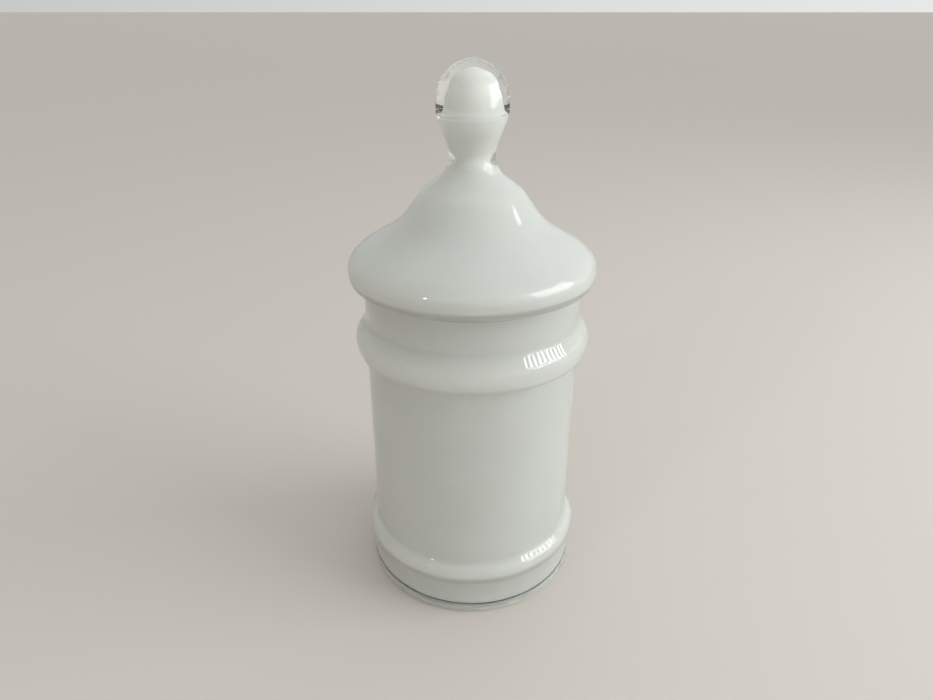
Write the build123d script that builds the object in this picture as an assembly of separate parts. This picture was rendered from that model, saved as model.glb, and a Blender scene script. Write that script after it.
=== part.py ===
from build123d import *
import os

# Lidded vanity jar of cased glass. A white opal layer lies inside a clear outer casing,
# in the jar and in its lift-off lid alike. Every layer is a turned shape about the Z axis.
# The origin is the centre of the foot, on the table. All sizes are in millimetres.

# Driving dimensions
body_radius = 45.0          # clear casing on the plain wall
seat_z = 139.0              # ground rim of the jar, where the lid rests
total_height = 224.2        # table to the top of the knob
clear_wall = 2.4            # clear casing
opal_wall = 1.6             # white layer inside it

# Foot, rings and neck of the jar
resting_radius = 46.9       # outer edge of the foot on the table
resting_inner_radius = 37.0  # where the push-up under the foot begins
push_up = 1.4               # height of the hollow under the foot, at its middle
foot_crest = (47.6, 3.2)    # corner radius and height
foot_top_rise = 2.0         # how far a corner stands outside the plain wall
foot_top_z = 9.0
groove_rise = 1.0           # groove between foot and lower ring
groove_z = 15.6
lower_lip_rise = 3.6
lower_lip_z = 17.3
lower_ring_rise = 3.5
lower_ring_z = 23.2
lower_ring_top_z = 26.3
upper_ring_foot_z = 109.5   # where its flat underside leaves the wall
upper_lip_rise = 3.2
upper_lip_z = 110.3
upper_ring_rise = 4.8
upper_ring_z = 117.55
upper_ring_top_z = 124.65
neck_step = 0.2             # the neck is this much inside the plain wall
opal_swell = 0.62           # share of the upper ring's rise that the white layer follows
inner_swell = 0.30          # share of it that the inside surface follows
opal_groove_rise = 0.5      # how far the white layer stands out at the groove
opal_ring_rise = 2.2        # and inside the lower ring
opal_underside_z = 2.2      # white layer above the push-up
opal_rest_z = 0.6           # lowest part of the white layer, just above the table
opal_foot_radius = 39.3     # the white layer draws in here, inside thick clear glass
opal_heel_z = 5.5           # above it the layer swells out towards the lower ring
inner_foot_radius = 38.2    # inside radius at the floor
inner_taper_z = 22.0        # above it the inside is straight
floor_z = 8.0               # inside floor of the jar
edge_polish = 0.8           # rounding of the ground rims

# Lid
flange_clearance = 0.8      # all round, between the locating flange and the mouth
flange_wall = 2.0
flange_depth = 12.0
rim_radius = 45.3           # upright edge of the lid, below its bulge
rim_height = 1.2
cavity_top_z = 180.5
core_top_z = 217.6          # top of the white core inside the clear knob

opal_radius = body_radius - clear_wall
inner_radius = opal_radius - opal_wall
mouth_radius = inner_radius - neck_step
flange_radius = mouth_radius - flange_clearance
flange_inner_radius = flange_radius - flange_wall
bulge_start_z = seat_z + rim_height
opal_rim_z = seat_z + 3.0
flange_end_z = seat_z - flange_depth


def turned(corners):
    """Solid turned about Z from a closed outline of (radius, height, rounding) corners."""
    points = [(radius, height) for radius, height, rounding in corners]
    roundings = [rounding for radius, height, rounding in corners]
    outline = FilletPolyline(*points, radius=roundings, close=True)
    return revolve(make_face(Plane.XZ * outline), Axis.Z)


def ringed_wall(radius, swell):
    """Wall and upper ring of the jar up to the neck, for one surface of the glass."""
    return [
        (radius, upper_ring_foot_z, 1.2),
        (radius + upper_lip_rise * swell, upper_lip_z, 2.0),
        (radius + upper_ring_rise * swell, upper_ring_z, 7.0),
        (radius - neck_step, upper_ring_top_z, 5),
    ]


def jar_outside():
    """Outer surface, from the foot's resting edge to the ground rim."""
    foot = [
        (resting_radius, 0, 1.3),
        (*foot_crest, 4),
        (body_radius + foot_top_rise, foot_top_z, 6),
        (body_radius + groove_rise, groove_z, 1.8),
    ]
    lower_ring = [
        (body_radius + lower_lip_rise, lower_lip_z, 2.6),
        (body_radius + lower_ring_rise, lower_ring_z, 3.6),
        (body_radius, lower_ring_top_z, 2.2),
    ]
    rim = [(body_radius - neck_step, seat_z, edge_polish)]
    return foot + lower_ring + ringed_wall(body_radius, 1) + rim


def jar_boundary():
    """Surface where the white layer meets the clear casing, from the axis to the rim."""
    bottom = [
        (0, opal_underside_z, 0),
        (resting_inner_radius - 7.5, opal_underside_z, 15),
        (opal_foot_radius - 3, opal_rest_z, 4),
        (opal_foot_radius, opal_rest_z, 1.2),
        (opal_foot_radius + 0.7, opal_heel_z, 8),
    ]
    lower_ring = [
        (opal_radius + opal_groove_rise, groove_z, 3),
        (opal_radius + opal_ring_rise, lower_lip_z + 1.1, 3),
        (opal_radius + opal_ring_rise, lower_ring_z - 0.4, 4),
        (opal_radius, lower_ring_top_z, 3),
    ]
    rim = [(opal_radius - neck_step, seat_z, 0)]
    return bottom + lower_ring + ringed_wall(opal_radius, opal_swell) + rim


def jar_inside():
    """Inside surface, from the middle of the floor to the mouth."""
    floor = [(0, floor_z, 0), (inner_foot_radius, floor_z, 6), (inner_radius, inner_taper_z, 40)]
    rim = [(mouth_radius, seat_z, 0.4)]
    return floor + ringed_wall(inner_radius, inner_swell) + rim


def jar_clear_casing():
    """Clear sleeve and thick base, with a shallow push-up inside the resting ring."""
    underside = [(0, push_up, 0), (resting_inner_radius - 8, push_up, 30), (resting_inner_radius, 0, 6)]
    return turned(underside + jar_outside() + jar_boundary()[::-1])


def jar_opal_body():
    """White cup that lines the casing and holds the contents."""
    return turned(jar_boundary() + jar_inside()[::-1])


def knob_neck_to_crown():
    """Outer surface of the knob: waist, widest ring and rounded crown."""
    return [
        (6.65, 185.8, 10.8),
        (14.27, 206.4, 10),
        (12.7, 216.2, 6),
        (5.4, total_height, 11.5),
        (0, total_height, 0),
    ]


def lid_outside():
    """Outer surface: upright rim, curled bulge, ogee dome, collar and knob."""
    edge = [(rim_radius, seat_z, 0.4), (rim_radius, bulge_start_z, 0.6)]
    bulge = [(50.0, 141.2, 2.2), (51.2, 147.87, 7.5), (46.8, 153.4, 19)]
    dome = [(29.3, 163.45, 26), (20.1, 176.35, 12)]
    return edge + bulge + dome + knob_neck_to_crown()


def lid_boundary():
    """Surface where the white layer meets the clear casing, up to the egg-shaped core."""
    edge = [(opal_radius, seat_z, 0), (opal_radius, opal_rim_z, 1.5)]
    bulge = [(47.9, 143.3, 2.0), (48.9, 147.6, 4.5), (45.2, 151.55, 16.5)]
    dome = [(27.65, 161.63, 28), (18.35, 174.62, 10)]
    core = [
        (2.4, 186.2, 5.4),
        (8.0, 197.4, 9),
        (8.0, 205.8, 14),
        (4.1, core_top_z, 5.4),
        (0, core_top_z, 0),
    ]
    return edge + bulge + dome + core


def lid_inside():
    """Locating flange and the hollow of the dome, from the seat to the axis."""
    flange = [
        (flange_radius, seat_z, 0),
        (flange_radius, flange_end_z, 0.8),
        (flange_inner_radius, flange_end_z, 0.8),
        (flange_inner_radius, opal_rim_z + 1.2, 3),
    ]
    bulge = [(46.6, 147.2, 2.4), (43.9, 150.45, 14)]
    dome = [(26.55, 160.4, 30), (17.2, 173.5, 8), (5.5, cavity_top_z, 8), (0, cavity_top_z, 0)]
    return flange + bulge + dome


def lid_clear_casing():
    """Clear casing of the lid, thin over the dome and thick round the knob's core."""
    return turned(lid_outside() + lid_boundary()[::-1])


def lid_opal_shell():
    """White dome with its locating flange and the solid core of the knob."""
    return turned(lid_boundary() + lid_inside()[::-1])


os.makedirs("parts", exist_ok=True)
sub_parts = {
    "jar_clear_casing": jar_clear_casing(),
    "jar_opal_body": jar_opal_body(),
    "lid_clear_casing": lid_clear_casing(),
    "lid_opal_shell": lid_opal_shell(),
}
for name, solid in sub_parts.items():
    export_step(solid, f"parts/{name}.step")
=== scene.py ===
import math
import bmesh
import bpy
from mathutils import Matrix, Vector


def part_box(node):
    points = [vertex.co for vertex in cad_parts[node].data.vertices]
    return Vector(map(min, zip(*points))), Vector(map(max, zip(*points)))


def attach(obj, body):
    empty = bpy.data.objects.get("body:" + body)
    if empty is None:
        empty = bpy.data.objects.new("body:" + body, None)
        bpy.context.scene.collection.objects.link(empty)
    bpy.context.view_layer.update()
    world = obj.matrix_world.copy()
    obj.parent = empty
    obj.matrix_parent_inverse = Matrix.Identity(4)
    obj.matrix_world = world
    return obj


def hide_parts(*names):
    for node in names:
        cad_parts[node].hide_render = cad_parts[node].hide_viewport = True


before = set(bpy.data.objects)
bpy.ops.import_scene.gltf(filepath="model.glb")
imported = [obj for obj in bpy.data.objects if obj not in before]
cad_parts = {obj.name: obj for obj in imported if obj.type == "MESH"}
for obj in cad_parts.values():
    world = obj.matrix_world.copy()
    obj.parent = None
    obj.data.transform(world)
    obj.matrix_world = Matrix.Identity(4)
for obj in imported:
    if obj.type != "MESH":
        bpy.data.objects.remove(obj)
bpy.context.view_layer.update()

# ---------------------------------------------------------------------------
# Jar, clear layer. A sleeve of clear soda-lime glass over the white cup, blown in a turn-mould:
# two rolled rings, a flared foot with a thick clear base, and a rim ground flat for the lid. The
# push-up under the foot keeps it on a narrow resting ring. Outlines are in mm.
# ---------------------------------------------------------------------------
MM = 0.001
body_radius = 45.0
rim_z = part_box("jar_clear_casing")[1].z / MM
clear_wall = 2.4
neck_step = 0.2              # the neck is this much inside the plain wall
rim_gap = 0.05               # the ground faces of jar and lid meet with this much air
white_underside_z = 2.2      # white layer above the push-up
white_rest_z = 0.35          # and at its lowest, just above the table
white_foot_radius = 39.3     # it draws in here, inside thick clear glass
white_ring_rise = 2.9        # and stands out again behind the lower ring


def ringed_wall(radius, swell):
    """Corners of the wall up to the neck; swell is the share of the upper ring that it follows."""
    return [
        (radius, 109.5, 1.2),
        (radius + 3.2 * swell, 110.3, 2.0),
        (radius + 4.8 * swell, 117.55, 7.0),
        (radius - neck_step, 124.65, 5),
    ]


def jar_seam_of_layers(bite):
    """Where clear and white glass are fused, from the axis to the rim; bite moves it outwards."""
    radius = body_radius - clear_wall + bite
    low_z = white_rest_z - bite
    underside = [(0, white_underside_z - bite, 0), (29.5, white_underside_z - bite, 15), (36.3, low_z, 4)]
    heel = [(white_foot_radius + bite, low_z, 1.2), (40 + bite, 5.5, 8)]
    groove = [(radius + 0.5, 15.6, 3)]
    lower_ring = [
        (radius + white_ring_rise, 18.4, 3),
        (radius + white_ring_rise, 23.4, 3),
        (radius, 26.3, 3),
    ]
    rim = [(radius - neck_step, rim_z - rim_gap, 0)]
    return underside + heel + groove + lower_ring + ringed_wall(radius, 0.62) + rim


def turn_surface(shape, corners, finish, steps=192):
    """Turns one outline of (radius, height, rounding) corners in mm about Z, as one finish."""
    spots = [shape.verts.new((radius * MM, 0, height * MM)) for radius, height, rounding in corners]
    for lower, upper in zip(spots, spots[1:]):
        shape.edges.new((lower, upper))
    done = set(shape.faces)
    for spot, (radius, height, rounding) in zip(spots, corners):
        if rounding:
            legs = [edge.other_vert(spot).co - spot.co for edge in spot.link_edges]
            bend = math.pi - legs[0].angle(legs[1])
            bmesh.ops.bevel(
                shape,
                geom=[spot],
                offset=rounding * MM * math.tan(bend / 2),
                offset_type="OFFSET",
                segments=max(4, round(math.degrees(bend) / 4)),
                profile=0.5,
                affect="VERTICES",
                material=-1,
            )
    chain = [edge for edge in shape.edges if not edge.link_faces]
    for edge in [edge for edge in chain if edge.calc_length() > 6 * MM]:
        bmesh.ops.subdivide_edges(shape, edges=[edge], cuts=int(edge.calc_length() / (5 * MM)))
    chain = [edge for edge in shape.edges if not edge.link_faces]
    ends = {vert for edge in chain for vert in edge.verts}
    bmesh.ops.spin(
        shape,
        geom=list(ends) + chain,
        cent=(0, 0, 0),
        axis=(0, 0, 1),
        dvec=(0, 0, 0),
        angle=math.tau,
        steps=steps,
        use_merge=True,
    )
    for face in set(shape.faces) - done:
        face.material_index = finish
        face.smooth = True


def finish_piece(name, shape, finishes):
    """Closes the turned surfaces into one shell and links it into the scene with its finishes."""
    bmesh.ops.remove_doubles(shape, verts=shape.verts, dist=0.002 * MM)
    bmesh.ops.recalc_face_normals(shape, faces=shape.faces)
    mesh = bpy.data.meshes.new(name)
    shape.to_mesh(mesh)
    shape.free()
    mesh.set_sharp_from_angle(angle=math.radians(35))
    piece = bpy.data.objects.new(name, mesh)
    bpy.context.scene.collection.objects.link(piece)
    for finish in finishes:
        mesh.materials.append(finish)
    return piece


def hex_colour(code):
    """Linear colour from an sRGB hex value."""
    channels = [int(code[i:i + 2], 16) / 255 for i in (1, 3, 5)]
    linear = [c / 12.92 if c <= 0.04045 else ((c + 0.055) / 1.055) ** 2.4 for c in channels]
    return (*linear, 1)


def add_node(tree, kind, settings=None, values=None, links=None):
    """Adds a node with its settings, its plain socket values and its incoming links."""
    node = tree.nodes.new(kind)
    for name, value in (settings or {}).items():
        setattr(node, name, value)
    for socket, value in (values or {}).items():
        node.inputs[socket].default_value = value
    for socket, output in (links or {}).items():
        tree.links.new(output, node.inputs[socket])
    return node


def new_material(name):
    """Empty node material with its output node."""
    material = bpy.data.materials.new(name)
    material.use_nodes = True
    material.node_tree.nodes.clear()
    return material, add_node(material.node_tree, "ShaderNodeOutputMaterial")


# Soda-lime glass, fire polished: water-clear with a faint green tint, mirror smooth, with the slow
# waves that a blown surface keeps. Waves about 14 mm long and 0.02 mm high bend highlights a little.
clear_glass, glass_output = new_material("fire_polished_soda_lime_glass")
tree = clear_glass.node_tree
place = add_node(tree, "ShaderNodeTexCoord")
waves = add_node(
    tree, "ShaderNodeTexNoise",
    values={"Scale": 1 / 0.014, "Detail": 1.5, "Roughness": 0.4},
    links={"Vector": place.outputs["Object"]},
)
wavy = add_node(
    tree, "ShaderNodeBump",
    values={"Strength": 0.35, "Distance": 0.00006},
    links={"Height": waves.outputs["Fac"]},
)
body = add_node(
    tree, "ShaderNodeBsdfPrincipled",
    values={
        "Base Color": hex_colour("#fcfefc"),
        "Roughness": 0.015,
        "IOR": 1.52,
        "Transmission Weight": 1.0,
    },
    links={"Normal": wavy.outputs["Normal"]},
)
tree.links.new(body.outputs["BSDF"], glass_output.inputs["Surface"])

jar_clear = bmesh.new()
underside = [(0, 1.4, 0), (29, 1.4, 30), (37, 0, 6)]
foot = [(46.9, 0, 1.3), (47.6, 3.2, 4), (47, 9, 6), (46, 15.6, 1.8)]
lower_ring = [(48.6, 17.3, 2.6), (48.5, 23.2, 3.6), (45, 26.3, 2.2)]
ground_rim = [(body_radius - neck_step, rim_z - rim_gap, 0.8)]
fused_rim = [(body_radius - clear_wall - neck_step, rim_z - rim_gap, 0)]
upper_wall = ringed_wall(body_radius, 1) + ground_rim + fused_rim
turn_surface(jar_clear, underside + foot + lower_ring + upper_wall, 0)
turn_surface(jar_clear, jar_seam_of_layers(0), 0)
jar_clear_layer = finish_piece("jar_clear_layer", jar_clear, [clear_glass])
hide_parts("jar_clear_casing")
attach(jar_clear_layer, "jar")

# ---------------------------------------------------------------------------
# Jar, white layer. The first gather is white opal glass, blown out inside the clear one: a cup with a
# 1.6 mm wall that follows the rings more softly, and a flat floor. Its outside is fused to the clear
# layer, so only its inside and its ground rim meet the air.
# ---------------------------------------------------------------------------
opal_wall = 1.6
fuse_bite = 0.05             # the white glass bites this far into the clear, so no air lies between


def opal_material(name, gloss):
    """White opal glass; gloss is how much of a mirror its skin is, none where it is fused."""
    material, output = new_material(name)
    nodes = material.node_tree
    spot = add_node(nodes, "ShaderNodeTexCoord")
    clouds = add_node(
        nodes, "ShaderNodeTexNoise",
        values={"Scale": 1 / 0.022, "Detail": 3.0, "Roughness": 0.5},
        links={"Vector": spot.outputs["Object"]},
    )
    tint = add_node(
        nodes, "ShaderNodeValToRGB",
        links={"Fac": clouds.outputs["Fac"]},
    )
    tint.color_ramp.elements[0].position = 0.3
    tint.color_ramp.elements[0].color = hex_colour("#f4f5ef")
    tint.color_ramp.elements[1].position = 0.7
    tint.color_ramp.elements[1].color = hex_colour("#f8f9f3")
    shader = add_node(
        nodes, "ShaderNodeBsdfPrincipled",
        values={
            "Roughness": 0.08,
            "IOR": 1.5,
            "Specular IOR Level": gloss,
            "Subsurface Weight": 0.4,
            "Subsurface Radius": (1.0, 1.0, 0.85),
            "Subsurface Scale": 0.003,
        },
        links={"Base Color": tint.outputs["Color"]},
    )
    nodes.links.new(shader.outputs["BSDF"], output.inputs["Surface"])
    return material


# Opal glass, fused under clear glass: no skin of its own, soft white, slightly green, light goes a
# few millimetres into it. Clouds about 22 mm across vary the white very slightly.
fused_opal = opal_material("fused_opal_glass", 0.0)
# The same glass where it meets the air inside the jar and lid: a smooth fire-polished skin.
bare_opal = opal_material("fire_polished_opal_glass", 0.5)

inner_radius = body_radius - clear_wall - opal_wall
jar_white = bmesh.new()
turn_surface(jar_white, jar_seam_of_layers(fuse_bite), 0)
mouth = [(inner_radius - neck_step, rim_z - rim_gap, 0.4)]
floor_outline = [(inner_radius, 22, 40), (38.2, 8, 6), (0, 8, 0)]
rim_edge = [(body_radius - clear_wall + fuse_bite - neck_step, rim_z - rim_gap, 0)]
turn_surface(jar_white, rim_edge + mouth + ringed_wall(inner_radius, 0.3)[::-1] + floor_outline, 1)
jar_white_layer = finish_piece("jar_white_layer", jar_white, [fused_opal, bare_opal])
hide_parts("jar_opal_body")
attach(jar_white_layer, "jar")

# ---------------------------------------------------------------------------
# Lid, clear layer. Clear glass over the white dome, curled under at the edge into a fat bulge that
# hides the joint, and gathered thick at the top into the egg-shaped knob. The mould that pressed the
# knob left a fine groove round it, just below its widest part.
# ---------------------------------------------------------------------------
top_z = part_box("lid_clear_casing")[1].z / MM
seat_z = rim_z
rim_radius = 45.3
opal_rim_z = seat_z + 3.0
core_lean = 0.25              # the white core stands this far off the axis, as a hand-drawn one does
core_lean_from_z = 183.0
core_lean_to_z = 205.0


def lid_seam_of_layers(bite):
    """Where clear and white glass are fused in the lid, from the seat to the top of the core."""
    radius = body_radius - clear_wall + bite
    edge = [(radius, seat_z, 0), (radius, opal_rim_z - bite, 1.5)]
    bulge = [(47.9, 143.3 - 2 * bite, 2.0), (48.9, 147.6, 4.5), (45.2, 151.55, 16.5)]
    dome = [(27.65, 161.63, 28), (18.35, 174.62, 10), (2.4, 186.2, 5.4)]
    bulb = [(9.2, 196.5, 9), (9.1, 203.8, 1.5)]
    tip = [(7.4, 206.2, 2), (6.9, 211, 12), (4.1, 217.6, 5.4), (0, 217.6, 0)]
    grown = [(r + bite * (r > 0), z + bite * 0.4, rounding) for r, z, rounding in bulge + dome + bulb + tip]
    return edge + grown


def lean_core(shape):
    """Shifts the core of the knob sideways, more the higher it is, one ring of points at a time."""
    rings = {}
    for vert in shape.verts:
        rings.setdefault(round(vert.co.z / MM, 4), []).append(vert)
    for height, ring in rings.items():
        share = min(max((height - core_lean_from_z) / (core_lean_to_z - core_lean_from_z), 0), 1)
        if share:
            lean = core_lean * share * share * (3 - 2 * share)
            bmesh.ops.translate(shape, verts=ring, vec=(lean * MM, 0, 0))


lid_clear = bmesh.new()
turn_surface(lid_clear, lid_seam_of_layers(0), 0)
lean_core(lid_clear)
lid_edge = [
    (body_radius - clear_wall, seat_z, 0),
    (rim_radius, seat_z, 0.4),
    (rim_radius, seat_z + 1.2, 0.6),
]
curl = [(50.0, 141.2, 2.2), (51.2, 147.87, 7.5), (46.8, 153.4, 19)]
ogee = [(29.3, 163.45, 26), (20.1, 176.35, 12)]
knob_waist = [(6.65, 185.8, 10.8)]
mould_groove = [(13.8, 204.5, 0.1), (13.55, 204.9, 0.1), (13.95, 205.2, 0.1), (14.05, 207.4, 6)]
crown = [(12.7, 216.2, 6), (5.4, top_z, 11.5), (0, top_z, 0)]
turn_surface(lid_clear, lid_edge + curl + ogee + knob_waist + mould_groove + crown, 0)
lid_clear_layer = finish_piece("lid_clear_layer", lid_clear, [clear_glass])
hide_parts("lid_clear_casing")
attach(lid_clear_layer, "lid")

# ---------------------------------------------------------------------------
# Lid, white layer. White dome with a plain locating flange that drops 12 mm into the mouth with
# 0.8 mm to spare all round, and the solid white core that runs up into the knob.
# ---------------------------------------------------------------------------
flange_clearance = 0.8
flange_wall = 2.0
flange_depth = 12.0
flange_radius = inner_radius - neck_step - flange_clearance
flange_end_z = seat_z - flange_depth
cavity_top_z = 180.5         # where the hollow of the dome ends, under the knob

lid_white = bmesh.new()
turn_surface(lid_white, lid_seam_of_layers(fuse_bite), 0)
lean_core(lid_white)
flange = [
    (body_radius - clear_wall + fuse_bite, seat_z, 0),
    (flange_radius, seat_z, 0),
    (flange_radius, flange_end_z, 0.8),
    (flange_radius - flange_wall, flange_end_z, 0.8),
    (flange_radius - flange_wall, opal_rim_z + 1.2, 3),
]
hollow = [(46.6, 147.2, 2.4), (43.9, 150.45, 14), (26.55, 160.4, 30), (17.2, 173.5, 8)]
turn_surface(lid_white, flange + hollow + [(5.5, cavity_top_z, 8), (0, cavity_top_z, 0)], 1)
lid_white_layer = finish_piece("lid_white_layer", lid_white, [fused_opal, bare_opal])
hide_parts("lid_opal_shell")
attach(lid_white_layer, "lid")

# ---------------------------------------------------------------------------
# Studio: a wide pale floor, a tall louvred softbox on the right, a small lamp on the left and soft
# light from all round.
# ---------------------------------------------------------------------------
def matte(name, code):
    """Plain matt paint for the set."""
    material, output = new_material(name)
    shader = add_node(
        material.node_tree, "ShaderNodeBsdfPrincipled",
        values={"Base Color": hex_colour(code), "Roughness": 0.7},
    )
    material.node_tree.links.new(shader.outputs["BSDF"], output.inputs["Surface"])
    return material


def set_plane(name, corners, material):
    """Flat sheet of the set."""
    shape = bmesh.new()
    shape.faces.new([shape.verts.new(corner) for corner in corners])
    mesh = bpy.data.meshes.new(name)
    shape.to_mesh(mesh)
    shape.free()
    sheet = bpy.data.objects.new(name, mesh)
    bpy.context.scene.collection.objects.link(sheet)
    mesh.materials.append(material)
    return sheet


# The floor lies a hair below the foot, so that glass and floor are not in the same plane.
floor_reach = 30.0
floor_drop = 0.0001
floor_signs = ((-1, -1), (1, -1), (1, 1), (-1, 1))
floor_corners = [(x * floor_reach, y * floor_reach, -floor_drop) for x, y in floor_signs]
set_plane("floor", floor_corners, matte("floor_paint", "#c4bdb5"))
aim_height = 0.12             # all lamps look at this height on the jar's axis


def softbox(name, azimuth, elevation, distance, size, power, colour, slide=0.0):
    """Area light that looks at the jar; azimuth 0 is in front of it and positive to the right."""
    lamp = bpy.data.lights.new(name, "AREA")
    lamp.shape = "RECTANGLE"
    lamp.size, lamp.size_y = size
    lamp.energy = power
    lamp.color = hex_colour(colour)[:3]
    holder = bpy.data.objects.new(name, lamp)
    bpy.context.scene.collection.objects.link(holder)
    turn = math.radians(azimuth)
    rise = math.radians(elevation)
    toward = Vector((math.sin(turn) * math.cos(rise), -math.cos(turn) * math.cos(rise), math.sin(rise)))
    across = Vector((math.cos(turn), math.sin(turn), 0))
    holder.location = Vector((0, 0, aim_height)) + toward * distance + across * slide
    holder.rotation_euler = toward.to_track_quat("Z", "Y").to_euler()
    return holder


louvres = 10
louvre_pitch = 0.085
for louvre in range(louvres):
    slide = (louvre - (louvres - 1) / 2) * louvre_pitch
    softbox(f"window_louvre_{louvre}", 78, 24, 1.1, (0.035, 0.55), 0.8, "#f6fbff", slide)
softbox("small_lamp", -42, 23, 1.3, (0.06, 0.09), 1.1, "#fffaf0")

# Room light: brighter towards the window and the ceiling, a little warmer on the far side.
world = bpy.data.worlds.new("soft_studio")
world.use_nodes = True
sky = world.node_tree
sky.nodes.clear()
direction = add_node(sky, "ShaderNodeTexCoord")
along = add_node(sky, "ShaderNodeSeparateXYZ", links={"Vector": direction.outputs["Generated"]})
sideways = add_node(
    sky, "ShaderNodeMapRange",
    values={"From Min": -1.0, "From Max": 1.0, "To Min": 0.49, "To Max": 0.93},
    links={"Value": along.outputs["X"]},
)
upwards = add_node(
    sky, "ShaderNodeMapRange",
    values={"From Min": 0.0, "From Max": 1.0, "To Min": 0.0, "To Max": 0.20},
    links={"Value": along.outputs["Z"]},
)
level = add_node(
    sky, "ShaderNodeMath", settings={"operation": "ADD"},
    links={0: sideways.outputs["Result"], 1: upwards.outputs["Result"]},
)
warmth = add_node(
    sky, "ShaderNodeMix", settings={"data_type": "RGBA"},
    values={"A": (1.0, 0.955, 0.92, 1), "B": (0.96, 1.0, 1.0, 1)},
    links={"Factor": sideways.outputs["Result"]},
)
glow = add_node(
    sky, "ShaderNodeBackground",
    links={"Color": warmth.outputs["Result"], "Strength": level.outputs["Value"]},
)
add_node(sky, "ShaderNodeOutputWorld", links={"Surface": glow.outputs["Background"]})
bpy.context.scene.world = world
bpy.context.scene.view_settings.view_transform = "Standard"

# The camera stands 274 mm in front of the jar's axis and 241 mm up, and looks down 26.2 degrees.
camera_place = (-0.0023, -0.274, 0.241)
look_down = 26.22
camera_data = bpy.data.cameras.new("camera")
camera_data.sensor_width = 36
camera_data.lens = 27.0
camera = bpy.data.objects.new("camera", camera_data)
camera.location = camera_place
camera.rotation_euler = (math.radians(90 - look_down), 0, 0)
bpy.context.scene.collection.objects.link(camera)
bpy.context.scene.camera = camera
